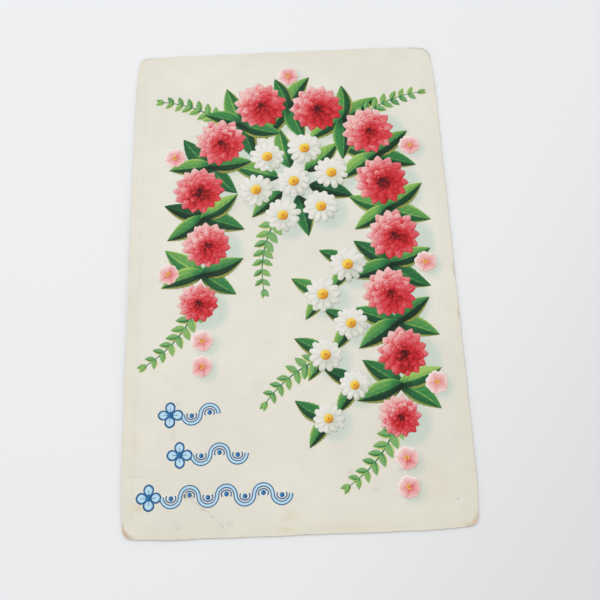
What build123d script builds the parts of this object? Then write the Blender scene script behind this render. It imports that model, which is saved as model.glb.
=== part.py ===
from build123d import *

import os
from math import asin, cos, floor, pi, radians, sin, sqrt

# An embossed greeting postcard, face up: +X to its right edge, +Y to its top edge, +Z out of the picture.
# The origin is the middle of the back face. Sizes are in millimetres and angles in degrees.

# Card blank
CARD_WIDTH = 88.9
CARD_HEIGHT = 139.7
CORNER_RADIUS = 2.5

# Plies, from the back of the card to its face, and the film of ink on top
BACK_PAPER = 0.09
BACK_PASTE = 0.03
CORE_BOARD = 0.20
FACE_PASTE = 0.04
FACE_PAPER = 0.09
INK_FILM = 0.04

# Plate mark: a shallow sunk panel inside a raised margin
MARGIN_SIDE = 3.2
MARGIN_END = 4.2
PANEL_CORNER = 1.5
PANEL_SINK = 0.05

# Clear paper round each embossed form
FLOWER_GAP = 0.8

# Large blooms: three tiers of petals, smaller towards both ends of the garland
BLOOM_RADIUS = 7.8
BLOOM_END_SHARE = 0.72
BLOOM_SWAY = 1.1
BLOOM_TURN = 17.0
OUTER_LOBES = 14
MIDDLE_LOBES = 11
HEART_LOBES = 8
MIDDLE_SHARE = 0.68
HEART_SHARE = 0.36
OUTER_RISE = 0.22
MIDDLE_RISE = 0.20
HEART_RISE = 0.16
PETAL_NOTCH = 0.87

# Daisies: a ring of narrow petals and a domed heart
DAISY_RADIUS = 5.1
DAISY_LOBES = 12
DAISY_NOTCH = 0.80
DAISY_RISE = 0.20
DAISY_HEART_RADIUS = 1.6
DAISY_HEART_LOBES = 6
DAISY_HEART_RISE = 0.16
DAISY_RING = 6
DAISY_RING_TURN = 12.0
TRAIL_SHRINK = 0.09

# Small five-petalled blossoms
BLOSSOM_RADIUS = 3.1
BLOSSOM_LOBES = 5
BLOSSOM_NOTCH = 0.62
BLOSSOM_RISE = 0.16
BLOSSOM_TIPS = 2

# Garland line: a column up the right side, an arch, and a shorter column down the left side
EDGE_CLEAR = 5.0
FOOT_RISE = 24.0
LEFT_DROP = 35.2

# Leaves in the gaps of the garland
LEAF_LENGTH = 12.0
LEAF_WIDTH = 5.3
LEAF_SPREAD = 27.0

# Smaller leaves behind the daisies of the trail
TRAIL_LEAF_SHARE = 0.75
TRAIL_LEAF_HEADINGS = (150.0, 235.0)

# Sprigs: a bent stem with paired leaflets
SPRIG_LENGTH = 22.0
SPRIG_BEND = 38.0
SPRIG_PAIRS = 7
STEM_WIDTH = 0.5
LEAFLET_LENGTH = 4.2
LEAFLET_WIDTH = 2.3
LEAFLET_SPLAY = 52.0
LEAFLET_TAPER = 0.45

# Printed shadow, cast to the lower right
SHADOW_RIGHT = 2.0
SHADOW_DOWN = 2.4

# Blue ornament: rows of a running scroll, each led by a four-lobed rosette
ROW_INSETS = (0.75, 8.25, 5.75)
ROW_FOOT = 6.0
ROW_PITCH = 10.2
ROW_WAVES = (7, 3, 2)
WAVE_SPAN = 4.6
SCROLL_WIDTH = 1.0
ROSETTE_RADIUS = 3.2
ROSETTE_LOBES = 4
ROSETTE_NOTCH = 0.60

# Divided back: a dividing rule, address rules and a stamp frame
RULE_WIDTH = 0.4
RULE_INSET = 6.0
ADDRESS_RULES = 4
ADDRESS_PITCH = 9.0
STAMP_WIDTH = 20.0
STAMP_HEIGHT = 24.0

# Heights of the plies
paste_bottom = BACK_PAPER
core_bottom = paste_bottom + BACK_PASTE
core_top = core_bottom + CORE_BOARD
face_paste_top = core_top + FACE_PASTE
face_top = face_paste_top + FACE_PAPER
panel_top = face_top - PANEL_SINK
blossom_top = panel_top + BLOSSOM_RISE
daisy_top = panel_top + DAISY_RISE
daisy_heart_top = daisy_top + DAISY_HEART_RISE
outer_top = panel_top + OUTER_RISE
middle_top = outer_top + MIDDLE_RISE
heart_top = middle_top + HEART_RISE

# Garland line, worked out from the panel and the flowers that it carries
panel_half_width = CARD_WIDTH / 2 - MARGIN_SIDE
panel_half_height = CARD_HEIGHT / 2 - MARGIN_END
bouquet_ring = 2 * DAISY_RADIUS + FLOWER_GAP
arch_radius = bouquet_ring + DAISY_RADIUS + FLOWER_GAP + BLOOM_SWAY + BLOOM_RADIUS
bloom_reach = EDGE_CLEAR + BLOOM_RADIUS + BLOOM_SWAY
column_x = panel_half_width - bloom_reach
arch_x = column_x - arch_radius
arch_y = panel_half_height - bloom_reach - arch_radius
foot_y = FOOT_RISE - panel_half_height
column_length = arch_y - foot_y
garland_length = column_length + arch_radius * pi + LEFT_DROP
bloom_chord = 2 * BLOOM_RADIUS + FLOWER_GAP
bloom_arc = 2 * arch_radius * asin(bloom_chord / (2 * arch_radius))
bloom_steps = floor(garland_length / bloom_arc)
bloom_pitch = garland_length / bloom_steps


def garland_place(distance, aside=0.0):
    """A place beside the garland's line, by the way along it from the foot, and the outward angle there."""
    if distance <= column_length:
        return column_x + aside, foot_y + distance, 0.0
    turn = min((distance - column_length) / arch_radius, pi)
    reach = arch_radius + aside
    drop = max(distance - column_length - arch_radius * pi, 0.0)
    return arch_x + reach * cos(turn), arch_y + reach * sin(turn) - drop, turn * 180 / pi


def nestled(radius):
    """How far beside the line a flower of this radius nestles between two blooms."""
    apart = BLOOM_RADIUS + radius + FLOWER_GAP
    return sqrt(max(apart**2 - (bloom_pitch / 2) ** 2, 0.0)) + BLOOM_SWAY


def bloom_layout():
    """Each bloom's x, y, radius and turn, swaying from side to side along the line."""
    layout = []
    for index in range(bloom_steps + 1):
        share = index / bloom_steps
        radius = BLOOM_RADIUS * (BLOOM_END_SHARE + (1 - BLOOM_END_SHARE) * sqrt(sin(pi * share)))
        sway = BLOOM_SWAY if index % 2 else -BLOOM_SWAY
        x, y, _ = garland_place(index * bloom_pitch, sway)
        layout.append((x, y, radius, index * BLOOM_TURN))
    return layout


def daisy_layout():
    """A bouquet of daisies inside the arch, and a double trail of smaller ones down beside the column."""
    layout = [(arch_x, arch_y, DAISY_RADIUS, 0.0)]
    for index in range(DAISY_RING):
        angle = DAISY_RING_TURN + index * 360 / DAISY_RING
        x = arch_x + bouquet_ring * cos(radians(angle))
        y = arch_y + bouquet_ring * sin(radians(angle))
        layout.append((x, y, DAISY_RADIUS, angle))
    trail_top = arch_y - bouquet_ring - bouquet_ring
    inner_x = column_x - nestled(DAISY_RADIUS)
    beside = sqrt(max(bouquet_ring**2 - (bloom_pitch / 2) ** 2, 0.0))
    gaps = [foot_y + (index + 0.5) * bloom_pitch for index in range(bloom_steps)]
    trail = [y for y in gaps if y <= trail_top]
    for index, y in enumerate(reversed(trail)):
        radius = DAISY_RADIUS * (1 - TRAIL_SHRINK * index)
        layout.append((inner_x, y, radius, index * BLOOM_TURN))
        layout.append((inner_x - beside, y - bloom_pitch / 2, radius, -index * BLOOM_TURN))
    return layout


def blossom_layout():
    """Blossoms outside every second gap of the garland, and a tapering row beyond each end of it."""
    layout = []
    for index in range(0, bloom_steps, 2):
        x, y, angle = garland_place((index + 0.5) * bloom_pitch, nestled(BLOSSOM_RADIUS))
        layout.append((x, y, BLOSSOM_RADIUS, angle))
    reach = BLOOM_RADIUS * BLOOM_END_SHARE + FLOWER_GAP + BLOSSOM_RADIUS + BLOOM_SWAY
    for index in range(BLOSSOM_TIPS):
        radius = BLOSSOM_RADIUS * (1 - 0.5 * TRAIL_SHRINK * index)
        along = reach + index * (2 * BLOSSOM_RADIUS + FLOWER_GAP)
        for distance in (-along, garland_length + along):
            x, y, angle = garland_place(distance)
            layout.append((x, y, radius, angle))
    return layout


def leaf_layout():
    """Two leaves each side of every gap in the garland, one in each gap of the bouquet, and two behind each daisy of
    the trail: each leaf's root, heading, length and width."""
    layout = []
    for index in range(bloom_steps):
        x, y, angle = garland_place((index + 0.5) * bloom_pitch)
        for heading in (angle, angle + 180):
            layout.append((x, y, heading - LEAF_SPREAD, LEAF_LENGTH, LEAF_WIDTH))
            layout.append((x, y, heading + LEAF_SPREAD, LEAF_LENGTH, LEAF_WIDTH))
    for index in range(DAISY_RING):
        heading = DAISY_RING_TURN + (index + 0.5) * 360 / DAISY_RING
        x = arch_x + DAISY_RADIUS * cos(radians(heading))
        y = arch_y + DAISY_RADIUS * sin(radians(heading))
        layout.append((x, y, heading, LEAF_LENGTH, LEAF_WIDTH))
    for x, y, _, _ in daisy_layout()[DAISY_RING + 1 :]:
        for heading in TRAIL_LEAF_HEADINGS:
            layout.append((x, y, heading, TRAIL_LEAF_SHARE * LEAF_LENGTH, TRAIL_LEAF_SHARE * LEAF_WIDTH))
    return layout


def sprig_layout():
    """Each sprig's root, heading and bend: beyond both ends, at the top corners, and out of the daisies."""
    head_x, head_y, _ = garland_place(garland_length)
    right_x, right_y, right_angle = garland_place(column_length + arch_radius * pi / 4)
    left_x, left_y, left_angle = garland_place(column_length + arch_radius * 3 * pi / 4)
    return (
        (head_x, head_y, -110.0, -SPRIG_BEND),
        (right_x, right_y, right_angle, -SPRIG_BEND),
        (left_x, left_y, left_angle, SPRIG_BEND),
        (column_x, foot_y, -110.0, -SPRIG_BEND),
        (arch_x - DAISY_RADIUS, arch_y - bouquet_ring, -120.0, SPRIG_BEND),
        (column_x - nestled(DAISY_RADIUS) - DAISY_RADIUS, foot_y + bloom_pitch, 195.0, SPRIG_BEND),
    )


def lobed_outline(x, y, radius, turn, lobes, notch):
    """A flower's outline: one round lobe per petal, meeting in notches at a share of the radius."""
    step = 2 * pi / lobes
    first = radians(turn)
    with BuildSketch() as outline:
        with BuildLine():
            for lobe in range(lobes):
                angles = (first + (lobe - 0.5) * step, first + lobe * step, first + (lobe + 0.5) * step)
                reaches = (notch * radius, radius, notch * radius)
                ThreePointArc(*[(x + r * cos(a), y + r * sin(a)) for r, a in zip(reaches, angles)])
        make_face()
    return outline.sketch


def leaf(x, y, heading, length=LEAF_LENGTH, width=LEAF_WIDTH):
    """A pointed leaf that grows from a place along its heading, between two arcs."""
    along = Vector(cos(radians(heading)), sin(radians(heading)))
    across = Vector(-along.Y, along.X)
    base = Vector(x, y)
    tip = base + along * length
    with BuildSketch() as outline:
        with BuildLine():
            ThreePointArc(base, base + along * (length / 2) + across * (width / 2), tip)
            ThreePointArc(tip, base + along * (length / 2) - across * (width / 2), base)
        make_face()
    return outline.sketch


def stem_place(x, y, heading, bend, share):
    """A place at a share of the way along a sprig's arc, and the stem's heading there."""
    arc = SPRIG_LENGTH / radians(bend)
    start, here = radians(heading), radians(heading + bend * share)
    return x + arc * (sin(here) - sin(start)), y + arc * (cos(start) - cos(here)), heading + bend * share


def sprig(x, y, heading, bend):
    """A bent stem with leaflets in pairs that shorten towards its tip, and one leaflet at the tip."""
    places = [stem_place(x, y, heading, bend, share) for share in (0.0, 0.5, 1.0)]
    with BuildSketch() as outline:
        with BuildLine():
            ThreePointArc(*[place[:2] for place in places])
        trace(line_width=STEM_WIDTH)
        leaflets = []
        for pair in range(1, SPRIG_PAIRS + 1):
            share = pair / SPRIG_PAIRS
            leaf_x, leaf_y, leaf_heading = stem_place(x, y, heading, bend, share)
            size = 1 - LEAFLET_TAPER * share
            for splay in (LEAFLET_SPLAY, -LEAFLET_SPLAY) if pair < SPRIG_PAIRS else (0.0,):
                place = (leaf_x, leaf_y, leaf_heading + splay)
                leaflets.append(leaf(*place, LEAFLET_LENGTH * size, LEAFLET_WIDTH * size))
        add(leaflets)
    return outline.sketch


def running_scroll(left, middle, waves):
    """A rosette and a row of half circles that swing above and below the row's middle line."""
    with BuildSketch() as row:
        with BuildLine():
            for wave in range(waves):
                start = left + 2 * ROSETTE_RADIUS + wave * WAVE_SPAN
                crest = WAVE_SPAN / 2 if wave % 2 else -WAVE_SPAN / 2
                ThreePointArc(
                    (start, middle), (start + WAVE_SPAN / 2, middle + crest), (start + WAVE_SPAN, middle)
                )
        trace(line_width=SCROLL_WIDTH)
        add(lobed_outline(left + ROSETTE_RADIUS, middle, ROSETTE_RADIUS, 0.0, ROSETTE_LOBES, ROSETTE_NOTCH))
    return row.sketch


def card_outline():
    """The blank's outline, with worn round corners."""
    with BuildSketch() as outline:
        RectangleRounded(CARD_WIDTH, CARD_HEIGHT, CORNER_RADIUS)
    return outline.sketch


def panel_outline():
    """The plate-mark panel's outline."""
    with BuildSketch() as outline:
        RectangleRounded(2 * panel_half_width, 2 * panel_half_height, PANEL_CORNER)
    return outline.sketch


def islands(area):
    """The islands of a printed area, apart from specks under a square of the stem's width, which no plate holds."""
    return [island for island in area.faces() if island.area >= STEM_WIDTH**2]


# Outlines of the embossed forms, one tier of petals at a time
blooms = bloom_layout()
daisies = daisy_layout()
blossoms = blossom_layout()
outer_petals = [lobed_outline(x, y, r, turn, OUTER_LOBES, PETAL_NOTCH) for x, y, r, turn in blooms]
middle_petals = [
    lobed_outline(x, y, MIDDLE_SHARE * r, -turn, MIDDLE_LOBES, PETAL_NOTCH) for x, y, r, turn in blooms
]
bloom_hearts = [lobed_outline(x, y, HEART_SHARE * r, turn, HEART_LOBES, PETAL_NOTCH) for x, y, r, turn in blooms]
daisy_petals = [lobed_outline(*daisy, DAISY_LOBES, DAISY_NOTCH) for daisy in daisies]
daisy_hearts = [
    lobed_outline(x, y, DAISY_HEART_RADIUS * r / DAISY_RADIUS, turn, DAISY_HEART_LOBES, PETAL_NOTCH)
    for x, y, r, turn in daisies
]
blossom_petals = [lobed_outline(*blossom, BLOSSOM_LOBES, BLOSSOM_NOTCH) for blossom in blossoms]
flowers = outer_petals + daisy_petals + blossom_petals

# Printed areas that lie flat on the panel, each cut back to what the areas above it leave bare
with BuildSketch() as leaf_area:
    add([leaf(*place) for place in leaf_layout()])
    add(flowers, mode=Mode.SUBTRACT)
    add(panel_outline(), mode=Mode.INTERSECT)
leaf_islands = islands(leaf_area.sketch)

with BuildSketch() as sprig_area:
    add([sprig(*root) for root in sprig_layout()])
    add([*flowers, *leaf_islands], mode=Mode.SUBTRACT)
    add(panel_outline(), mode=Mode.INTERSECT)
sprig_islands = islands(sprig_area.sketch)

with BuildSketch() as shadow_area:
    with Locations([(x + SHADOW_RIGHT, y - SHADOW_DOWN) for x, y, _, _ in blooms]):
        Circle(BLOOM_RADIUS * BLOOM_END_SHARE)
    with Locations([(x + SHADOW_RIGHT, y - SHADOW_DOWN) for x, y, _, _ in daisies]):
        Circle(DAISY_RADIUS * DAISY_NOTCH)
    add([*flowers, *leaf_islands, *sprig_islands], mode=Mode.SUBTRACT)
    add(panel_outline(), mode=Mode.INTERSECT)
shadow_islands = islands(shadow_area.sketch)

with BuildSketch() as ornament_area:
    for row, (inset, waves) in enumerate(zip(ROW_INSETS, ROW_WAVES)):
        add(running_scroll(inset - panel_half_width, ROW_FOOT - panel_half_height + row * ROW_PITCH, waves))
    add([*flowers, *leaf_islands, *sprig_islands, *shadow_islands], mode=Mode.SUBTRACT)
    add(panel_outline(), mode=Mode.INTERSECT)

with BuildSketch() as rule_area:
    Rectangle(CARD_WIDTH - 2 * RULE_INSET, RULE_WIDTH)
    first_rule = RULE_INSET - CARD_WIDTH / 2 + ADDRESS_PITCH
    with Locations([(first_rule + rule * ADDRESS_PITCH, CARD_HEIGHT / 4) for rule in range(ADDRESS_RULES)]):
        Rectangle(RULE_WIDTH, CARD_HEIGHT / 2 - 2 * RULE_INSET)
    stamp_x = CARD_WIDTH / 2 - RULE_INSET - STAMP_HEIGHT / 2
    stamp_y = CARD_HEIGHT / 2 - RULE_INSET - STAMP_WIDTH / 2
    with Locations((stamp_x, stamp_y)):
        Rectangle(STAMP_HEIGHT, STAMP_WIDTH)
        Rectangle(STAMP_HEIGHT - 2 * RULE_WIDTH, STAMP_WIDTH - 2 * RULE_WIDTH, mode=Mode.SUBTRACT)


def film(area, height):
    """A film of ink over a flat area at this height."""
    with BuildPart() as ink:
        with BuildSketch(Plane.XY.offset(height)):
            add(area)
        extrude(amount=INK_FILM)
    return ink.part


def crown_area(petals, upper_petals=()):
    """What shows of one tier's flat crowns round the tier that stands on them."""
    with BuildSketch() as area:
        add(petals)
        if upper_petals:
            add(upper_petals, mode=Mode.SUBTRACT)
    return area.sketch


# Plies
with BuildPart() as back_paper:
    with BuildSketch():
        add(card_outline())
    extrude(amount=BACK_PAPER)
    with BuildSketch():
        add(rule_area.sketch)
    extrude(amount=INK_FILM, mode=Mode.SUBTRACT)
back_paper.part.label = "back_paper"

with BuildPart() as back_rule_ink:
    with BuildSketch():
        add(rule_area.sketch)
    extrude(amount=INK_FILM)
back_rule_ink.part.label = "back_rule_ink"

with BuildPart() as back_paste:
    with BuildSketch(Plane.XY.offset(paste_bottom)):
        add(card_outline())
    extrude(amount=BACK_PASTE)
back_paste.part.label = "back_paste"

with BuildPart() as core_board:
    with BuildSketch(Plane.XY.offset(core_bottom)):
        add(card_outline())
    extrude(amount=CORE_BOARD)
core_board.part.label = "core_board"

with BuildPart() as face_paste:
    with BuildSketch(Plane.XY.offset(core_top)):
        add(card_outline())
    extrude(amount=FACE_PASTE)
face_paste.part.label = "face_paste"

# Face paper: the sheet, its sunk panel, and each tier of the embossing on the crowns of the tier below
with BuildPart() as face_paper:
    with BuildSketch(Plane.XY.offset(face_paste_top)):
        add(card_outline())
    extrude(amount=FACE_PAPER)
    with BuildSketch(Plane.XY.offset(panel_top)):
        add(panel_outline())
    extrude(amount=PANEL_SINK, mode=Mode.SUBTRACT)
    for ground, rise, petals in (
        (panel_top, BLOSSOM_RISE, blossom_petals),
        (panel_top, DAISY_RISE, daisy_petals),
        (daisy_top, DAISY_HEART_RISE, daisy_hearts),
        (panel_top, OUTER_RISE, outer_petals),
        (outer_top, MIDDLE_RISE, middle_petals),
        (middle_top, HEART_RISE, bloom_hearts),
    ):
        with BuildSketch(Plane.XY.offset(ground)):
            add(petals)
        extrude(amount=rise)
face_paper.part.label = "face_paper"

# Inks
inks = {
    "shadow_tint_ink": film(shadow_islands, panel_top),
    "leaf_green_ink": film(leaf_islands, panel_top),
    "sprig_green_ink": film(sprig_islands, panel_top),
    "blue_ink": film(islands(ornament_area.sketch), panel_top),
    "rose_ink": film(crown_area(outer_petals, middle_petals), outer_top),
    "scarlet_ink": film(crown_area(middle_petals, bloom_hearts), middle_top),
    "crimson_ink": film(crown_area(bloom_hearts), heart_top),
    "pale_pink_ink": film(crown_area(blossom_petals), blossom_top),
    "white_ink": film(crown_area(daisy_petals, daisy_hearts), daisy_top),
    "yellow_ink": film(crown_area(daisy_hearts), daisy_heart_top),
}

os.makedirs("parts", exist_ok=True)
for ply in (back_paper, back_rule_ink, back_paste, core_board, face_paste, face_paper):
    export_step(ply.part, f"parts/{ply.part.label}.step")
for name, ink in inks.items():
    ink.label = name
    export_step(ink, f"parts/{name}.step")
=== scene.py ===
"""Dresses an embossed postcard: worn ivory paper, a printed flower garland in low relief, a ruled back."""

import math

import bpy
import numpy as np
from mathutils import Matrix, Vector


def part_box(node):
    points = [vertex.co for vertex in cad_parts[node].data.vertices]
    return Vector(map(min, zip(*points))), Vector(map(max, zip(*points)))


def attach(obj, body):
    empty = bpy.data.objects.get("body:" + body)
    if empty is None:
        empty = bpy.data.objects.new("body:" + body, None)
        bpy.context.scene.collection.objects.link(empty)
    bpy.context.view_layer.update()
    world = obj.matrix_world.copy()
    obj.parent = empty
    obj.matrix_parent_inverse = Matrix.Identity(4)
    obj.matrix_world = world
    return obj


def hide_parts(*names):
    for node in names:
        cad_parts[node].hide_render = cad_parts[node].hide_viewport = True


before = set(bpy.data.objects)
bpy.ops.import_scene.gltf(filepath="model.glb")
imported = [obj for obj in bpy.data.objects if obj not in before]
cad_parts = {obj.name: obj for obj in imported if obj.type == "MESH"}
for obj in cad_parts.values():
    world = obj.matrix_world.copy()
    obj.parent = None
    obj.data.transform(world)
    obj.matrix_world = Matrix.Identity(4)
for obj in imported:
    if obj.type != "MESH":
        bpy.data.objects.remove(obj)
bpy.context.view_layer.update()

bl_info = {
    "name": "Embossed Postcard",
    "version": (1, 0, 0),
    "blender": (4, 5, 0),
    "location": "View3D > Sidebar > Postcard",
    "description": "Makes the paper, print and wear of an embossed greeting postcard on its CAD frame",
    "category": "Mesh",
}

# Lengths are in millimetres, from the middle of the card and up from its back
MM = 0.001
BODY = "root"
BLACK = 0.0, 0.0, 0.0
WHITE = 1.0, 1.0, 1.0

# Sizes of the solids that have no box of their own in the frame
MARGIN_SIDE = 3.2
MARGIN_END = 4.2
FACE_PAPER = 0.09
RULE_WIDTH = 0.4
DAISY_RADIUS = 5.1
BOUQUET_RING = 11.0

# Sizes read from the frame
card_low, card_high = (np.array(corner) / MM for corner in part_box("core_board"))
CARD_WIDTH, CARD_HEIGHT = (card_high - card_low)[:2]
HALF_WIDTH, HALF_HEIGHT = CARD_WIDTH / 2, CARD_HEIGHT / 2
PANEL_HALF = HALF_WIDTH - MARGIN_SIDE, HALF_HEIGHT - MARGIN_END
PLIES = {
    name: (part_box(name)[0].z / MM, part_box(name)[1].z / MM)
    for name in ("back_paper", "back_paste", "core_board", "face_paste")
}
FACE_FOOT = PLIES["face_paste"][1]
FACE_TOP = FACE_FOOT + FACE_PAPER
PANEL_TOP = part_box("leaf_green_ink")[0].z / MM

# The paper's rise round a flower, the print's foot under the paper, how far the back's rules reach into
# the paper and out of it, and where the painted light comes from
HALO_RISE = 0.05
FOOT_DEPTH = 0.03
RULE_SINK = 0.03
RULE_PROUD = 0.012
LIGHT_FROM = math.radians(128.0)

# Rings of petals: count, inner and outer radius and half width as shares of the flower's, foot, rise, tone
BLOOM_RINGS = (
    (14, 0.30, 0.92, 0.190, 0.12, 0.15, 0.62),
    (14, 0.24, 0.81, 0.180, 0.19, 0.14, 0.58),
    (12, 0.18, 0.68, 0.170, 0.26, 0.13, 0.52),
    (11, 0.12, 0.55, 0.150, 0.32, 0.12, 0.47),
    (9, 0.07, 0.42, 0.130, 0.38, 0.11, 0.41),
    (7, 0.03, 0.29, 0.105, 0.44, 0.10, 0.34),
    (5, 0.00, 0.16, 0.080, 0.50, 0.08, 0.24),
)
DAISY_RINGS = ((12, 0.16, 1.0, 0.185, 0.11, 0.12, 0.55), (11, 0.16, 0.86, 0.165, 0.17, 0.12, 0.66))
BLOSSOM_RINGS = ((5, 0.06, 1.0, 0.50, 0.09, 0.14, 0.62),)

# Daisy hearts and blossom stamens: radii as shares of the flower's, foot and rise
DAISY_HEART = 0.31
HEART_FOOT = 0.24
HEART_RISE = 0.17
STAMENS = 7
STAMEN = 0.07
STAMEN_RING = 0.17
STAMEN_FOOT = 0.21
STAMEN_RISE = 0.05

# The printed shadow's reach, and its shift to the right and down, as shares of a flower's radius
SHADOW_REACH = 1.12
SHADOW_SHIFT = 0.42, 0.36

# How much paler petals are painted at the tip, against painted shade at the foot, on the lit side and on lit
# rims, and how much they differ
BLOOM_PAINT = 0.20, 0.13, 0.20, 0.07
DAISY_PAINT = 0.18, 0.10, 0.20, 0.05
BLOSSOM_PAINT = 0.30, 0.08, 0.14, 0.04

# Leaves: four at each gap of the garland, a ring in the bouquet, and two behind each daisy of the trail
LEAF_LENGTH = 12.0
LEAF_WIDTH = 5.4
LEAF_RISE = 0.08
LEAF_FOOT = HALO_RISE + 0.005
LEAF_SPLAY = math.radians(27.0)
LEAF_LAPS = 0.0, 0.04, 0.02, 0.06
RING_LEAVES = 6
RING_TURN = 12.0
TRAIL_SHARE = 0.75
TRAIL_HEADINGS = 150.0, 235.0

# Sprigs: a bent stem with paired leaflets that shorten by the taper
SPRIG_LENGTH = 22.0
SPRIG_BEND = math.radians(38.0)
SPRIG_PAIRS = 8
STEM_WIDTHS = 0.55, 0.22
STEM_RISE = HALO_RISE + 0.04
LEAFLET_LENGTH = 4.4
LEAFLET_WIDTH = 2.5
LEAFLET_RISE = 0.07
LEAFLET_SPLAY = math.radians(52.0)
LEAFLET_TAPER = 0.45

# Ornament: each row's inset from the panel's edge and its waves, from the lowest row up
ORNAMENT_ROWS = ((0.75, 7), (8.25, 3), (5.75, 2))
ROW_FOOT = 6.0
ROW_PITCH = 10.2
WAVE_SPAN = 4.6
SCROLL_WIDTH = 1.1
SCROLL_RISE = 0.06
ROSETTE = 3.2
ROSETTE_RISE = 0.09
ROSETTE_EYE = 0.75
BEAD = 0.62
BEAD_FOOT = 0.02
BEAD_RISE = 0.06
CURL = 1.25
CURL_WIDTH = 0.32
CURL_RISE = 0.04
CREST_LIFT = 0.35

# Round corners as side, end and radius, the wear's reach along an edge, how far the face droops at the
# rim, and close grid lines inside the rim
CORNERS = ((-1, 1, 2.6), (1, 1, 2.9), (1, -1, 2.0), (-1, -1, 2.4))
RIM_RADIUS = 2.6
WEAR_REACH = 15.0
RIM_DROOP = 0.05
RIM_LINES = np.array((0.05, 0.12, 0.22, 0.4, 0.7, 1.1, 1.6, 2.1, 2.6))

# Where the lower left corner was bent, as x and y
CREASE = np.array(
    [
        (-44.45, -54.0), (-38.5, -54.4), (-34.3, -56.6), (-28.1, -59.2),
        (-23.7, -62.8), (-19.5, -66.2), (-17.0, -69.85),
    ]
)

# Stains and smudges as x, y, half width, half height and depth, and what they take of red, green and blue
STAINS = (
    (-2.3, -65.3, 2.0, 1.2, 0.06), (-3.6, -68.4, 2.2, 0.9, 0.10), (-39.8, -61.9, 1.6, 1.0, 0.12),
    (-41.0, -46.0, 1.2, 2.4, 0.05), (-37.5, -69.0, 5.0, 0.8, 0.02), (33.0, -58.0, 5.0, 6.0, 0.03),
    (24.0, -47.0, 4.0, 3.0, 0.03), (44.2, -15.0, 0.35, 1.4, 0.28), (12.0, -68.2, 9.0, 0.9, 0.05),
    (-28.1, -59.4, 0.9, 0.5, 0.40), (40.0, -68.4, 2.6, 0.6, 0.07),
)
STAIN_TAKES = np.array((0.25, 0.5, 1.0))
SMUDGES = (
    (-31.6, -45.0, 0.4, 0.9, 0.05), (25.6, -55.0, 0.5, 1.0, 0.06), (-17.2, -66.4, 0.9, 0.6, 0.05),
    (13.0, -55.3, 0.6, 1.1, 0.05), (19.2, -59.6, 1.1, 0.5, 0.05), (-29.9, -67.0, 0.8, 0.5, 0.05),
    (44.2, -2.8, 0.4, 1.8, 0.12), (-23.9, -62.9, 0.5, 0.35, 0.10),
)
SMUDGE_TAKES = np.ones(3)

# Bared corners as side, end, reach, depth and colour; darker rims at the head's ends as side, start, end and
# depth
BARED = (
    (-1, -1, 4.8, 1.0, (0.80, 0.725, 0.645)), (1, -1, 5.0, 1.0, (0.80, 0.775, 0.68)),
    (-1, 1, 3.2, 0.6, (0.85, 0.82, 0.74)), (1, 1, 3.2, 0.6, (0.85, 0.82, 0.74)),
)
HEAD_RIM_DARKENING = ((-1, 1.5, 8.0, 0.16), (1, -1.0, 9.0, 0.17))

# A rubbed spot at the lower right corner and dark specks, as x, y and radius
RUBBED = 42.7, -68.1, 0.55
RUBBED_COLOUR = np.array((0.90, 0.75, 0.64))
SPECKS = (
    (39.1, -62.5, 0.2), (24.4, -44.3, 0.18), (-30.5, -36.5, 0.18),
    (12.5, -57.0, 0.18), (-14.0, 52.0, 0.16), (43.2, -14.2, 0.2),
)

# Linear colours of the flecks in the two papers
FACE_FLECK = 0.36, 0.27, 0.16, 1.0
BACK_FOXING = 0.34, 0.20, 0.09, 1.0

# The stage in metres: half the table's side, its drop below the card, and the soft lamp
TABLE_HALF = 1.5
TABLE_DROP = 0.00003
LAMP_PLACE = -0.14, 0.18, 0.62
LAMP_SIZE = 0.5


def linear(colour):
    """sRGB values of 0 to 1 as linear light, by the usual toe and power curve."""
    colour = np.asarray(colour, float)
    return np.where(colour <= 0.04045, colour / 12.92, ((colour + 0.055) / 1.055) ** 2.4)


def blend(first, second, share):
    """A colour that lies a share of the way from the first to the second."""
    return np.array(first) * (1 - share) + np.array(second) * share


def ramp(stops, share):
    """Linear colours along a row of sRGB stops, blended straight between neighbours at a share of 0 to 1."""
    stops = np.array([tuple(stop) for stop in stops])
    at = np.clip(share, 0.0, 1.0) * (len(stops) - 1)
    low = np.minimum(at.astype(int), len(stops) - 2)
    part = (at - low)[..., None]
    return linear(stops[low] * (1 - part) + stops[low + 1] * part)


def ease(low, high, value):
    """A smooth step from 0 to 1 as a value goes from low to high."""
    share = np.clip((value - low) / (high - low), 0.0, 1.0)
    return share * share * (3 - 2 * share)


def bell(width, value):
    """1 at 0, falling off to both sides by the exponential of the value's square over a width."""
    return np.exp(-((value / width) ** 2))


def mottle(x, y, size, seed):
    """Smooth uneven values of about -1 to 1: a sum of eight sine waves in seeded directions, size apart."""
    dice = np.random.default_rng(seed)
    angles, shifts = dice.uniform(0, 2 * np.pi, (2, 8))
    total = np.zeros(np.broadcast(x, y).shape)
    for angle, shift, stretch in zip(angles, shifts, dice.uniform(0.6, 1.7, 8)):
        wave = 2 * np.pi * stretch / size
        total += np.sin(wave * (x * np.cos(angle) + y * np.sin(angle)) + shift)
    return total / 4


def lie(x, y):
    """How high the card's underside stands off the table: a shallow arch along it, higher at the left edge
    than the right, and the lower left corner bent up past the chord of the crease."""
    sizes = bpy.context.scene.postcard_sizes
    arch = 1 - np.clip(y / HALF_HEIGHT, -1, 1) ** 2
    rise = (sizes.left_rise + (sizes.right_rise - sizes.left_rise) * (0.5 + x / CARD_WIDTH)) / MM
    first, last = CREASE[1], CREASE[-1]
    along = (last - first) / np.linalg.norm(last - first)
    beyond = (x - first[0]) * along[1] - (y - first[1]) * along[0]
    return rise * arch + np.maximum(beyond, 0.0) * math.tan(sizes.corner_bend)


def inside_panel(x, y):
    """How far a place lies inside the edge of the sunk panel."""
    return np.minimum(PANEL_HALF[0] - np.abs(x), PANEL_HALF[1] - np.abs(y))


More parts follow.
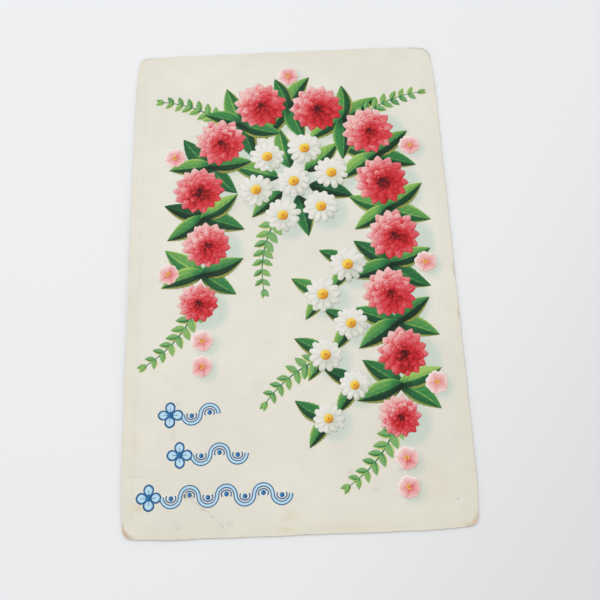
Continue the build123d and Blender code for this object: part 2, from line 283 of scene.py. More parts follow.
def face_rise(x, y):
    """How far the face paper stands above the sunk panel: the margin's step, eased over the plate line."""
    line = bpy.context.scene.postcard_sizes.plate_line / MM
    return (FACE_TOP - PANEL_TOP) * ease(line / 2, -line / 2, inside_panel(x, y))


def closed_grids(top, foot):
    """Corners and faces of solids between pairs of grids, of shape (solids, rows, columns, 3): the upper
    grid faces up, the lower one down, and a wall of quads joins the rims. Also says which faces are flat."""
    count, rows, columns, _ = top.shape
    below = rows * columns
    index = np.arange(below).reshape(rows, columns)
    upper = np.stack((index[:-1, :-1], index[1:, :-1], index[1:, 1:], index[:-1, 1:]), -1).reshape(-1, 4)
    rim = np.concatenate((index[:, 0], index[-1, 1:], index[-2::-1, -1], index[0, -2:0:-1]))
    after = np.roll(rim, -1)
    wall = np.stack((rim + below, after + below, after, rim), -1)
    one = np.concatenate((upper, upper[:, ::-1] + below, wall))
    flat = np.arange(len(one)) >= len(upper)
    corners = np.concatenate((top.reshape(count, -1, 3), foot.reshape(count, -1, 3)), axis=1)
    faces = one[None] + (2 * below * np.arange(count))[:, None, None]
    return corners.reshape(-1, 3), faces.reshape(-1, 4), np.tile(flat, count)


def for_both_grids(values):
    """Values of an upper grid, repeated for the lower grid of each solid."""
    return np.tile(values.reshape(len(values), -1, 3), (1, 2, 1)).reshape(-1, 3)


def make_piece(name, parts, finish, nodes):
    """One object from several groups of closed grids. Each part is its top, foot, colours and grain, and the
    colours and grain have the top's shape."""
    corners, faces, flats = [], [], []
    offset = 0
    for top, foot, _, _ in parts:
        part_corners, part_faces, flat = closed_grids(top, foot)
        corners.append(part_corners)
        faces.append(part_faces + offset)
        flats.append(flat)
        offset += len(part_corners)
    faces = np.concatenate(faces)
    mesh = bpy.data.meshes.new(name)
    mesh.vertices.add(offset)
    mesh.vertices.foreach_set("co", (np.concatenate(corners) * MM).ravel())
    mesh.loops.add(faces.size)
    mesh.loops.foreach_set("vertex_index", faces.ravel())
    mesh.polygons.add(len(faces))
    mesh.polygons.foreach_set("loop_start", np.arange(0, faces.size, 4))
    mesh.polygons.foreach_set("use_smooth", ~np.concatenate(flats))
    mesh.update(calc_edges=True)
    tints = np.concatenate([for_both_grids(colours) for _, _, colours, _ in parts])
    tints = np.concatenate((tints, np.ones((offset, 1))), axis=1)
    grain = np.concatenate([for_both_grids(grain) for _, _, _, grain in parts])
    mesh.attributes.new("ink", "FLOAT_COLOR", "POINT").data.foreach_set("color", tints.ravel())
    mesh.attributes.new("grain", "FLOAT_VECTOR", "POINT").data.foreach_set("vector", grain.ravel())
    mesh.materials.append(finish)
    if mesh.validate():
        raise RuntimeError(f"{name} has faces that are not sound")
    piece = bpy.data.objects.new(name, mesh)
    bpy.context.scene.collection.objects.link(piece)
    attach(piece, BODY)
    if nodes:
        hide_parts(*nodes)


def loose_parts(node):
    """The separate solids of a CAD node as arrays of points. Corners at one place are one corner, and the
    lowest label spreads over shared edges until nothing changes."""
    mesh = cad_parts[node].data
    points = np.empty(len(mesh.vertices) * 3)
    mesh.vertices.foreach_get("co", points)
    points = points.reshape(-1, 3) / MM
    places, same = np.unique(np.round(points, 4), axis=0, return_inverse=True)
    edges = np.empty(len(mesh.edges) * 2, int)
    mesh.edges.foreach_get("vertices", edges)
    edges = same.reshape(-1)[edges].reshape(-1, 2)
    label, settled = np.arange(len(places)), False
    while not settled:
        lowest = np.minimum(label[edges[:, 0]], label[edges[:, 1]])
        spread = label.copy()
        np.minimum.at(spread, edges[:, 0], lowest)
        np.minimum.at(spread, edges[:, 1], lowest)
        spread = spread[spread]
        settled = np.array_equal(spread, label)
        label = spread
    return [places[label == part] for part in np.unique(label)]


def flower_places(node):
    """Rows of x, y, radius and turn, one for each flower of a node: the mean of its corners, and the
    distance and angle of the furthest one."""
    rows = []
    for points in loose_parts(node):
        middle = points[:, :2].mean(axis=0)
        arms = points[:, :2] - middle
        reach = np.hypot(*arms.T)
        tip = arms[reach.argmax()]
        rows.append((*middle, reach.max(), math.atan2(tip[1], tip[0])))
    return np.array(rows)


def along_garland(places):
    """The same rows in order along the garland, from its foot: each next flower is the nearest one left."""
    left = list(range(len(places)))
    order = [left.pop(int(np.argmin(places[:, 1])))]
    while left:
        gaps = np.hypot(*(places[left, :2] - places[order[-1], :2]).T)
        order.append(left.pop(int(np.argmin(gaps))))
    return places[order]


# Flowers of the frame: the daisies run from the head down, and the first seven are the bouquet
BLOOMS = along_garland(flower_places("rose_ink"))
DAISIES = flower_places("white_ink")
DAISIES = DAISIES[DAISIES[:, 1].argsort()[::-1]]
BOUQUET = DAISIES[:7, :2].mean(axis=0)
TRAIL = DAISIES[7:]
BLOSSOMS = flower_places("pale_pink_ink")


def measure(name, description, millimetres):
    """A setting for a length, with its default in millimetres."""
    default = millimetres * MM
    return bpy.props.FloatProperty(name=name, description=description, default=default, unit="LENGTH")


def ink(what, *default):
    """A setting for the colour of something, with its default as sRGB values."""
    return bpy.props.FloatVectorProperty(
        name=what.capitalize(), description=f"Colour of the {what}", default=default, subtype="COLOR_GAMMA"
    )


class PostcardSizes(bpy.types.PropertyGroup):
    """Sizes of the card's relief and wear"""

    left_rise: measure("Left rise", "How far the middle of the left edge stands off the table", 0.65)
    right_rise: measure("Right rise", "How far the middle of the right edge stands off the table", 0.2)
    corner_wear: measure("Corner wear", "How far the edges are worn back at the corners", 1.0)
    plate_line: measure("Plate line", "Width of the slope round the sunk panel", 0.5)
    corner_bend: bpy.props.FloatProperty(
        name="Corner bend",
        description="How far the creased corner is bent up",
        default=math.radians(0.6),
        subtype="ANGLE",
    )
    petal_grid: bpy.props.IntProperty(
        name="Petal grid", description="Rows and columns of each petal", default=7, min=5
    )


class PostcardInks(bpy.types.PropertyGroup):
    """Colours of the paper and the inks"""

    paper: ink("face paper", 0.898, 0.887, 0.840)
    tint: ink("printed shadow", 0.785, 0.832, 0.785)
    crimson: ink("blooms' hearts", 0.50, 0.06, 0.09)
    scarlet: ink("inner petals", 0.79, 0.13, 0.15)
    rose: ink("outer petals", 0.85, 0.29, 0.33)
    blush: ink("lit rims and small blossoms", 0.935, 0.77, 0.75)
    leaf_dark: ink("leaves' shaded side", 0.08, 0.27, 0.16)
    leaf: ink("leaves", 0.20, 0.50, 0.27)
    leaf_light: ink("leaves' lit edges", 0.60, 0.75, 0.36)
    sprig: ink("sprigs", 0.45, 0.66, 0.43)
    fringe: ink("yellow plate past the green", 0.86, 0.86, 0.42)
    white: ink("daisy petals", 0.905, 0.898, 0.862)
    shade: ink("daisy petals' shade", 0.735, 0.755, 0.695)
    yellow: ink("daisy hearts", 0.95, 0.79, 0.26)
    amber: ink("daisy hearts' shade", 0.78, 0.46, 0.13)
    blue: ink("ornament's outline", 0.17, 0.44, 0.67)
    pale_blue: ink("ornament's filling", 0.74, 0.87, 0.93)
    sepia: ink("rules on the back", 0.36, 0.28, 0.21)
    board: ink("board at the worn edges", 0.72, 0.62, 0.47)
    back: ink("back paper", 0.86, 0.81, 0.70)


class PostcardStage(bpy.types.PropertyGroup):
    """The photograph's camera, the table and the light"""

    eye: bpy.props.FloatVectorProperty(
        name="Eye", description="Camera place", default=(0.00367, -0.07051, 0.18732), subtype="TRANSLATION"
    )
    look: bpy.props.FloatVectorProperty(
        name="Look", description="Viewing way", default=(-0.0082, 0.3106, -0.9505), subtype="DIRECTION"
    )
    up: bpy.props.FloatVectorProperty(
        name="Up", description="Picture's upward way", default=(0.0400, 0.9499, 0.3100), subtype="DIRECTION"
    )
    lens: bpy.props.FloatProperty(
        name="Lens", description="Focal length in millimetres on a 36 mm frame", default=43.80
    )
    table: ink("table", 0.935, 0.940, 0.948)
    sky: bpy.props.FloatProperty(name="Sky", description="Strength of the even light", default=0.69)
    lamp: bpy.props.FloatProperty(
        name="Lamp", description="Power of the soft lamp", default=1.55, unit="POWER"
    )


class Finish:
    """A material under construction, with short ways to add nodes and join them."""

    def __init__(self, name):
        self.material = bpy.data.materials.new(name)
        self.material.use_nodes = True
        self.tree = self.material.node_tree
        self.place = self.node("ShaderNodeTexCoord", "Object", {})

    def node(self, kind, output, sockets, **settings):
        """One output of a new node. Its sockets take values or other nodes' outputs."""
        made = self.tree.nodes.new(kind)
        for name, value in settings.items():
            setattr(made, name, value)
        for name, value in sockets.items():
            self.join(made.inputs[name], value)
        return made.outputs[output]

    def join(self, socket, value):
        """Sets a socket to a value, or links an output to it."""
        if isinstance(value, bpy.types.NodeSocket):
            self.tree.links.new(value, socket)
        else:
            socket.default_value = value

    def attribute(self, name, output):
        """One of the piece's own attributes."""
        return self.node("ShaderNodeAttribute", output, {}, attribute_name=name)

    def stretched(self, vector, scale):
        """Places stretched by a scale for each axis."""
        return self.node("ShaderNodeMapping", "Vector", {"Vector": vector, "Scale": scale})

    def noise(self, scale, detail=3.0, roughness=0.55, vector=None):
        """Noise of a given scale, over the object's own places unless others are given."""
        vector = self.place if vector is None else vector
        sockets = {"Vector": vector, "Scale": scale, "Detail": detail, "Roughness": roughness}
        return self.node("ShaderNodeTexNoise", "Fac", sockets)

    def spread(self, value, to_low, to_high, low=0.3, high=0.7, way="LINEAR"):
        """A value carried from one range, by default that of noise, to another, held at the ends."""
        sockets = {"Value": value, "From Min": low, "From Max": high, "To Min": to_low, "To Max": to_high}
        return self.node("ShaderNodeMapRange", "Result", sockets, interpolation_type=way)

    def maths(self, operation, first, second):
        """Two values joined by an operation."""
        return self.node("ShaderNodeMath", 0, {0: first, 1: second}, operation=operation)

    def tinted(self, colour, value):
        """A colour multiplied by a grey value."""
        return self.node("ShaderNodeVectorMath", 0, {0: colour, "Scale": value}, operation="SCALE")

    def inked(self, value):
        """The piece's own painted colour multiplied by a grey value."""
        return self.tinted(self.attribute("ink", "Color"), value)

    def mixed(self, first, second, share):
        """Two colours blended by a share."""
        return self.node("ShaderNodeMix", 2, {"Factor": share, 6: first, 7: second}, data_type="RGBA")

    def bump(self, height, distance, strength):
        """Fine relief from a height value."""
        sockets = {"Height": height, "Distance": distance, "Strength": strength}
        return self.node("ShaderNodeBump", "Normal", sockets)

    def finish(self, colour, roughness, normal, shine=0.35):
        """The material, with its shader joined up."""
        shader = self.tree.nodes["Principled BSDF"].inputs
        self.join(shader["Base Color"], colour)
        self.join(shader["Roughness"], roughness)
        self.join(shader["Normal"], normal)
        shader["Specular IOR Level"].default_value = shine
        return self.material


def face_paper_finish():
    """Calendered ivory paper: the painted tone, fine fibre, rare brown flecks and a soft uneven shine."""
    make = Finish("face_paper_finish")
    fibre = make.noise(5200.0, 4.0, 0.65)
    cloud = make.spread(make.noise(240.0), 0.985, 1.012)
    fleck = make.spread(make.noise(1500.0, 1.0), 0.0, 0.16, 0.735, 0.775)
    tone = make.maths("MULTIPLY", make.spread(fibre, 0.975, 1.02), cloud)
    colour = make.mixed(make.inked(tone), FACE_FLECK, fleck)
    roughness = make.spread(make.noise(900.0, 2.0), 0.44, 0.62)
    return make.finish(colour, roughness, make.bump(fibre, 0.00002, 0.35))


def print_finish(name, dots, streaks):
    """Litho ink: the painted colour broken by fine dots, streaks along each petal and a faint gloss."""
    make = Finish(name)
    along = make.stretched(make.attribute("grain", "Vector"), (1.1, 9.0, 1.0))
    streak = make.noise(1.6, 3.0, 0.6, along)
    dot = make.noise(3300.0, 1.0, 0.4)
    dotted = make.spread(dot, 1 - dots, 1 + dots)
    tone = make.maths("MULTIPLY", dotted, make.spread(streak, 1 - streaks, 1 + streaks))
    roughness = make.spread(make.noise(1200.0, 2.0), 0.34, 0.52)
    height = make.maths("ADD", make.maths("MULTIPLY", dot, 0.4), streak)
    return make.finish(make.inked(tone), roughness, make.bump(height, 0.00004, 0.5), 0.15)


def board_finish():
    """Soft pulp board seen at the edge: tan, with darker fibre in thin level streaks."""
    make = Finish("board_finish")
    fibre = make.noise(900.0, 4.0, 0.7, make.stretched(make.place, (1.0, 1.0, 14.0)))
    colour = make.inked(make.spread(fibre, 0.72, 1.15))
    return make.finish(colour, make.spread(fibre, 0.8, 0.95), make.bump(fibre, 0.00006, 0.6))


def back_paper_finish():
    """Uncoated back paper: toned cream with fibre, foxing spots and a dry surface."""
    make = Finish("back_paper_finish")
    fibre = make.noise(3600.0, 5.0, 0.7)
    foxing = make.spread(make.noise(130.0, 2.0), 0.0, 0.35, 0.66, 0.80)
    colour = make.mixed(make.inked(make.spread(fibre, 0.93, 1.05)), BACK_FOXING, foxing)
    return make.finish(colour, make.spread(fibre, 0.72, 0.9), make.bump(fibre, 0.00003, 0.5))


def table_finish(colour):
    """Smooth white table, faintly uneven, with painted shade that makes it a little dimmer to the near
    right.
    """
    make = Finish("table_finish")
    cloud = make.noise(6.0, 2.0)
    # Painted shade: the table's colour grows darker towards the near right
    near_right = {0: make.place, 1: (0.8, -0.6, 0.0)}
    across = make.node("ShaderNodeVectorMath", "Value", near_right, operation="DOT_PRODUCT")
    painted_shade = make.spread(across, 1.0, 0.895, 0.033, 0.112, "SMOOTHSTEP")
    tone = make.tinted(make.mixed((*linear(colour) * 0.99, 1.0), (*linear(colour), 1.0), cloud), painted_shade)
    return make.finish(tone, make.spread(cloud, 0.55, 0.6), make.bump(cloud, 0.0001, 0.05))


def sheet_lines(half, panel, coarse, fine):
    """Grid lines from edge to edge: even steps, with close steps at the rim and by the panel's edge."""
    even = np.linspace(-half, half, int(2 * half / coarse) + 1)
    close = panel + np.linspace(-0.6, 0.6, fine)
    rim = half - RIM_LINES
    lines = np.unique(np.round(np.concatenate((even, -close, close, -rim, rim)), 3))
    keep = np.concatenate(((True,), np.diff(lines) > 0.03))
    keep[-1] = True
    return lines[keep & (np.abs(lines) <= half)]


def worn_back(x, y):
    """How far the side and end edges are worn back level with a place: by the square of what is left of the
    wear's reach from the corner, and less at the left of the head and the foot."""
    wear = bpy.context.scene.postcard_sizes.corner_wear / MM
    share = np.where(x < 0, np.where(y < 0, 0.6, 0.35), 1.0)
    worn_x = wear * np.clip(1 - (HALF_HEIGHT - np.abs(y)) / WEAR_REACH, 0, 1) ** 2
    worn_y = share * wear * np.clip(1 - (HALF_WIDTH - np.abs(x)) / WEAR_REACH, 0, 1) ** 2
    return worn_x, worn_y


def card_grid(coarse, fine=0):
    """Places over the card. In each corner's square a line's shares a and b become a times the root of
    1 - b²/2 and b times the root of 1 - a²/2, a quarter disc. The edges are worn back, and wander."""
    xs = sheet_lines(HALF_WIDTH, PANEL_HALF[0], coarse, fine)
    ys = sheet_lines(HALF_HEIGHT, PANEL_HALF[1], coarse, fine)
    x, y = np.meshgrid(xs, ys, indexing="ij")
    for side, end, radius in CORNERS:
        a = (side * x - HALF_WIDTH) / radius + 1
        b = (end * y - HALF_HEIGHT) / radius + 1
        inside = (a > 0) & (b > 0)
        bent_a = a * np.sqrt(np.clip(1 - b * b / 2, 0, 1))
        bent_b = b * np.sqrt(np.clip(1 - a * a / 2, 0, 1))
        x = np.where(inside, side * (HALF_WIDTH + radius * (bent_a - 1)), x)
        y = np.where(inside, end * (HALF_HEIGHT + radius * (bent_b - 1)), y)
    worn_x, worn_y = worn_back(x, y)
    x = x - np.sign(x) * worn_x * ease(4, 0, HALF_WIDTH - np.abs(x))
    y = y - np.sign(y) * worn_y * ease(4, 0, HALF_HEIGHT - np.abs(y))
    wander = 0.06 * mottle(x, y, 17.0, 5) + 0.03 * mottle(x, y, 4.0, 6)
    rim = np.maximum(ease(1.5, 0.0, HALF_WIDTH - np.abs(x)), ease(1.5, 0.0, HALF_HEIGHT - np.abs(y)))
    shrink = 1 - (0.08 + wander) * rim / HALF_WIDTH
    return x * shrink, y * shrink


def inside_rim(x, y):
    """How far a place lies inside the nearest worn edge, and the same with arcs at the round corners."""
    worn_x, worn_y = worn_back(x, y)
    in_x, in_y = HALF_WIDTH - np.abs(x) - worn_x, HALF_HEIGHT - np.abs(y) - worn_y
    edge = np.minimum(in_x, in_y)
    arc = RIM_RADIUS - np.hypot(np.maximum(RIM_RADIUS - in_x, 0), np.maximum(RIM_RADIUS - in_y, 0))
    return edge, np.where(np.maximum(in_x, in_y) < RIM_RADIUS, arc, edge)


def sheet_part(x, y, top, foot, colours):
    """One closed sheet from its places, its heights and its colours."""
    upper = np.stack((x, y, top), -1)[None]
    return upper, np.stack((x, y, foot), -1)[None], colours[None], upper


class POSTCARD_OT_plies(bpy.types.Operator):
    """Make the back paper, the board and the two paste films as plain worn sheets"""

    bl_idname = "postcard.plies"
    bl_label = "Make plies"

    def execute(self, context):
        inks = context.scene.postcard_inks
        board, back = board_finish(), back_paper_finish()
        paste = blend(inks.board, inks.back, 0.2)
        x, y = card_grid(coarse=2.2)
        height = lie(x, y)
        edge = ease(6.0, 0.0, inside_rim(x, y)[0])[..., None]
        # Each ply is darker within 6 mm of its edge by the last column: partly soiling, partly painted shade
        # for the dark line along the card's edge
        for name, slot, finish, colour, edge_dirt_and_shade in (
            ("back_paper", "back_paper", back, inks.back, 0.10),
            ("back_paste", "paste", board, paste, 0.30),
            ("core_board", "pasteboard", board, inks.board, 0.30),
            ("face_paste", "paste", board, paste, 0.30),
        ):
            low, high = PLIES[name]
            tone = linear(colour) * (1 + 0.03 * mottle(x, y, 30.0, 11)[..., None] - edge_dirt_and_shade * edge)
            part = sheet_part(x, y, high + height, low + height, tone)
            make_piece(f"{name}_sheet", [part], finish, [name])
        return {"FINISHED"}


def near_flowers(x, y):
    """Two shares for each place: how far it is pressed up round a flower, eased over the flower's edge, and
    how much printed shadow it takes, eased over a larger edge moved to the lower right."""
    right, down = SHADOW_SHIFT
    halo, shadow = np.zeros(x.shape), np.zeros(x.shape)
    for flower_x, flower_y, radius, _ in np.concatenate((BLOOMS, DAISIES, BLOSSOMS)):
        halo = np.maximum(halo, ease(radius + 0.9, radius - 0.2, np.hypot(x - flower_x, y - flower_y)))
        cast = np.hypot(x - flower_x - right * radius, y - flower_y + down * radius)
        reach = SHADOW_REACH * radius
        shadow = np.maximum(shadow, ease(reach + 0.9, reach - 1.9, cast))
    return halo, shadow


def stained(tone, x, y):
    """A tone with stains and smudges over it: each takes light away, as a bell round its middle."""
    for spots, takes in ((STAINS, STAIN_TAKES), (SMUDGES, SMUDGE_TAKES)):
        for spot_x, spot_y, wide, high, depth in spots:
            far = np.hypot((x - spot_x) / wide, (y - spot_y) / high)
            tone = tone * (1 - takes * (depth * bell(1.0, far))[..., None])
    return tone


def rubbed(tone, x, y, board):
    """A tone with a worn rim: bared corners in ragged bands, darker rims at the head's ends, a rubbed spot,
    and the board in a thin uneven line along the edge."""
    edge, rim = inside_rim(x, y)
    for side, end, reach, depth, bare in BARED:
        far = np.hypot(x - side * HALF_WIDTH, y - end * HALF_HEIGHT) + 0.4 * mottle(x, y, 1.8, 31)
        band = 0.60 + 0.35 * ease(reach, reach * 0.3, far) - 0.25 * mottle(x, y, 2.5, 32)
        share = depth * ease(reach, reach * 0.6, far) * ease(band + 0.5, band - 0.2, rim)
        tone = tone + (np.array(bare) - tone) * share[..., None]
    # Darker rims at the head's ends, within about half a millimetre of the edge
    for side, near, far, depth in HEAD_RIM_DARKENING:
        along = HALF_WIDTH - side * x
        band = ease(near, near + 1.5, along) * ease(far, far - 4.0, along) * ease(6.0, 3.0, HALF_HEIGHT - y)
        tone = tone * (1 - (depth * band * ease(0.55, 0.2, rim))[..., None])
    spot_x, spot_y, radius = RUBBED
    spot = bell(radius, np.hypot(x - spot_x, y - spot_y))
    tone = tone + (RUBBED_COLOUR - tone) * spot[..., None]
    thin = ease(0.20, 0.02, edge + 0.10 * mottle(x, y, 6.0, 33))
    thin = 0.55 * thin * (0.6 + 0.4 * mottle(x, y, 14.0, 34))
    return tone + (np.array(board) * 1.05 - tone) * np.clip(thin, 0, 1)[..., None]


class POSTCARD_OT_face(bpy.types.Operator):
    """Make the picture-side paper with its plate mark, printed shadow, stains and worn rim"""

    bl_idname = "postcard.face"
    bl_label = "Make face paper"

    def execute(self, context):
        inks = context.scene.postcard_inks
        x, y = card_grid(coarse=0.58, fine=9)
        edge, _ = inside_rim(x, y)
        halo, shadow = near_flowers(x, y)
        uneven = 1 + 0.010 * mottle(x, y, 45.0, 21) + 0.006 * mottle(x, y, 9.0, 22)
        tone = np.array(inks.paper) * uneven[..., None]
        tone *= 1 - np.array((0.006, 0.008, 0.018)) * ease(6.0, 0.0, edge)[..., None]
        # Darker and yellower towards the foot: partly the paper's toning, partly painted shade where the
        # light falls off
        tone *= 1 - np.array((0.004, 0.008, 0.016)) * ease(30.0, -70.0, y)[..., None]
        # A faint painted shade along the slope of the plate line round the sunk panel
        tone *= 1 - 0.012 * bell(0.22, inside_panel(x, y) + 0.15)[..., None]
        tone += (np.array(inks.tint) - tone) * (0.85 * shadow)[..., None]
        tone = rubbed(stained(tone, x, y), x, y, inks.board)
        height = lie(x, y)
        top = PANEL_TOP + face_rise(x, y) - RIM_DROOP * ease(0.3, 0.0, edge) + HALO_RISE * halo
        part = sheet_part(x, y, top + height, FACE_FOOT + height, linear(np.clip(tone, 0, 1)))
        nodes = ["face_paper", "shadow_tint_ink"]
        make_piece("face_paper_sheet", [part], face_paper_finish(), nodes)
        return {"FINISHED"}


def disc_grid(side, rimward=0.0):
    """A square grid bent into a unit disc, along p and across q, by the rule of the card's corners. Its
    lines are even steps, moved a share of the way to the steps' sines."""
    lines = np.linspace(-1, 1, side)
    lines = lines + rimward * (np.sin(np.pi / 2 * lines) - lines)
    a, b = np.meshgrid(lines, lines, indexing="ij")
    return a * np.sqrt(1 - b * b / 2), b * np.sqrt(1 - a * a / 2)


def half_ball(p, q):
    """The height of half a unit ball over a unit disc."""
    return np.sqrt(np.clip(1 - p * p - q * q, 0, 1))


def turned(points, angle):
    """Points turned about the vertical by one angle for each solid."""
    c, s = np.cos(angle)[:, None, None], np.sin(angle)[:, None, None]
    x, y, z = points[..., 0], points[..., 1], points[..., 2]
    return np.stack((c * x - s * y, s * x + c * y, z), -1)


def relief(points, stops, tone, grain=None, x=0.0, y=0.0):
    """One part of a piece: relief moved to a place on the panel, lifted by how the card lies there, with
    its foot in the paper, and painted along a row of stops. Where no grain is given, its own places are
    its grain."""
    top = points + np.array((x, y, 0.0))
    foot = top.copy()
    ground = PANEL_TOP + lie(top[..., 0], top[..., 1])
    top[..., 2] += ground
    foot[..., 2] = ground - FOOT_DEPTH
    colours = ramp(stops, np.broadcast_to(tone, points.shape[:-1]))
    return top, foot, colours, points if grain is None else grain


def petal_ring(
    count, inner, outer, width, low, rise, turn, dice,
    side, narrow, notch=0.0, tip=0.0, tilt=0.06, rimward=0.0,
):
    """A ring of petals that lap. Each is a unit disc, stretched from the inner to the outer radius along p
    and to the width across q, narrower at its foot, notched or pointed at its tip, domed, folded at its
    foot, tilted sideways, with its rim turned up. Gives points, p, q, each petal's angle and each place's
    outward angle."""
    p, q = disc_grid(side, rimward)
    angle = turn + 2 * np.pi * np.arange(count) / count + dice.normal(0, 0.035, count)
    reach = outer * (1 + dice.normal(0, 0.025, count))[:, None, None]
    broad = width * (1 + dice.normal(0, 0.05, count))[:, None, None]
    end = ease(0.1, 1.0, p)
    along = inner + (reach - inner) * (p + 1) / 2
    along = along - notch * outer * end * bell(0.28, q) + tip * outer * end * (1 - np.abs(q)) ** 2
    across = broad * q * (1 + narrow * p)
    far = np.clip(p * p + q * q, 0, 1)
    dome = np.sqrt(np.clip(1 - far**2, 0, 1))
    rim = bell(0.12, np.sqrt(far) - 0.82)
    fold = bell(0.16, q) * ease(0.9, -0.6, p)
    height = low + rise * (0.25 + 0.75 * dome + 0.18 * rim - 0.22 * fold) + tilt * rise * q
    points = turned(np.stack(np.broadcast_arrays(along, across, height), -1), angle)
    return points, p, q, angle, angle[:, None, None] + np.arctan2(q, p)


def painted(p, q, angle, rim_angle, base, dice, along, facing, rim, uneven):
    """A petal's tone from 0, deep, to 1, pale: paler to its tip and so deeper at its foot, a painted shade
    towards the flower's heart, paler on the flower's lit side and on rims that face the light, deeper on
    rims that face away, paler in a thin band inside the rim as a painted highlight, and a little different
    on each petal."""
    far = np.sqrt(np.clip(p * p + q * q, 0, 1))
    tone = base + along * p + facing * np.cos(angle - LIGHT_FROM)[:, None, None]
    tone = tone + rim * ease(0.55, 1.0, far) * np.cos(rim_angle - LIGHT_FROM)
    # A thin pale band inside the rim towards the tip: a painted highlight
    tone = tone + 0.16 * bell(0.08, far - 0.9) * ease(-0.2, 0.7, p)
    return tone + dice.normal(0, uneven, len(angle))[:, None, None]


def petal_grain(points, p, q, dice):
    """Grain that runs along each petal: its p and q, and a number of its own."""
    own = dice.uniform(0, 40, len(points))[:, None, None]
    return np.stack(np.broadcast_arrays(p, q, own), -1)


def flower_parts(places, seed, rings, stops, paint, step=0.0, rib=0.0, mood=0.0, **shape):
    """The parts of each flower: rings one above the other, each turned by half a petal and a step more. A
    rib paints petals paler along their middles, and a mood makes flowers paler and deeper by turns."""
    flowers = []
    for number, (x, y, radius, turn) in enumerate(places):
        dice = np.random.default_rng(seed + number)
        parts = []
        for count, inner, outer, width, low, rise, base in rings:
            ring = count, inner * radius, outer * radius, width * radius, low, rise, turn
            points, p, q, angle, rim_angle = petal_ring(*ring, dice, **shape)
            base = base + mood * math.cos(2.4 * number + 0.6)
            tone = painted(p, q, angle, rim_angle, base, dice, *paint)
            tone = tone + rib * (bell(0.32, q) * ease(-0.7, 0.4, p) - 2 / 3)
            parts.append(relief(points, stops, tone, petal_grain(points, p, q, dice), x, y))
            turn += math.pi / count + step
        flowers.append(parts)
    return flowers


class POSTCARD_OT_blooms(bpy.types.Operator):
    """Make the large red blooms, ring upon ring of pointed petals from pale outside to a deep heart"""

    bl_idname = "postcard.blooms"
    bl_label = "Make blooms"

    def execute(self, context):
        sizes, inks = context.scene.postcard_sizes, context.scene.postcard_inks
        pink = blend(inks.rose, inks.blush, 0.5)
        stops = blend(inks.crimson, BLACK, 0.45), inks.crimson, inks.scarlet, inks.rose, pink, inks.blush
        flowers = flower_parts(
            BLOOMS, seed=100, rings=BLOOM_RINGS, stops=stops, paint=BLOOM_PAINT, step=0.11, rib=0.15,
            mood=0.06, side=sizes.petal_grid, narrow=0.22, tip=0.09, tilt=0.25, rimward=0.5,
        )
        finish = print_finish("bloom_print", dots=0.07, streaks=0.10)
        thirds = np.array_split(np.arange(len(flowers)), 3)
        for name, third in zip(("blooms_right", "blooms_arch", "blooms_left"), thirds):
            parts = [part for number in third for part in flowers[number]]
            make_piece(name, parts, finish, ["rose_ink", "scarlet_ink", "crimson_ink"])
        return {"FINISHED"}


def daisy_heart(x, y, radius, stops):
    """A daisy's heart: a flat half ball, dimpled, beaded by two crossing cosines, paler to the light."""
    p, q = disc_grid(side=25)
    reach = DAISY_HEART * radius
    far = np.clip(p * p + q * q, 0, 1)
    beads = np.cos(26 * p + 9 * q) * np.cos(26 * q - 9 * p)
    dome = np.sqrt(np.clip(1 - far**1.5, 0, 1))
    height = HEART_FOOT + HEART_RISE * dome - 0.05 * np.exp(-far / 0.08) + 0.012 * beads
    lit = p * math.cos(LIGHT_FROM) + q * math.sin(LIGHT_FROM)
    tone = 0.62 + 0.30 * lit + 0.09 * beads - 0.25 * np.exp(-far / 0.06)
    return relief(np.stack((reach * p, reach * q, height), -1)[None], stops, tone, x=x, y=y)


class POSTCARD_OT_daisies(bpy.types.Operator):
    """Make the white daisies with their stippled yellow hearts"""

    bl_idname = "postcard.daisies"
    bl_label = "Make daisies"

    def execute(self, context):
        sizes, inks = context.scene.postcard_sizes, context.scene.postcard_inks
        stops = blend(inks.shade, BLACK, 0.18), inks.shade, inks.white, blend(inks.white, WHITE, 0.25)
        flowers = flower_parts(
            DAISIES, seed=300, rings=DAISY_RINGS, stops=stops, paint=DAISY_PAINT, step=0.2,
            side=sizes.petal_grid, narrow=0.22, notch=0.03, tilt=0.3, rimward=0.3,
        )
        petals = [part for parts in flowers for part in parts]
        finish = print_finish("daisy_print", dots=0.02, streaks=0.04)
        make_piece("daisy_petals", petals, finish, ["white_ink"])
        stops = blend(inks.amber, BLACK, 0.4), inks.amber, inks.yellow, blend(inks.yellow, WHITE, 0.4)
        hearts = [daisy_heart(x, y, radius, stops) for x, y, radius, _ in DAISIES]
        finish = print_finish("heart_print", dots=0.10, streaks=0.0)
        make_piece("daisy_hearts", hearts, finish, ["yellow_ink"])
        return {"FINISHED"}


def stamens(x, y, radius, turn, stops):
    """A blossom's stamens: one half ball in its middle and the others in a ring round it, each painted
    deeper to its right, a painted shade on the side away from the light.
    """
    p, q = disc_grid(side=7)
    number = np.arange(STAMENS)
    spots = (turn + 2 * np.pi * number / STAMENS)[:, None, None]
    out = np.where(number == 0, 0.0, STAMEN_RING * radius)[:, None, None]
    size = STAMEN * radius
    height = STAMEN_FOOT + STAMEN_RISE * half_ball(p, q)
    across, along = out * np.cos(spots) + size * p, out * np.sin(spots) + size * q
    points = np.stack(np.broadcast_arrays(across, along, height), -1)
    return relief(points, stops, 0.5 - 0.4 * p, x=x, y=y)


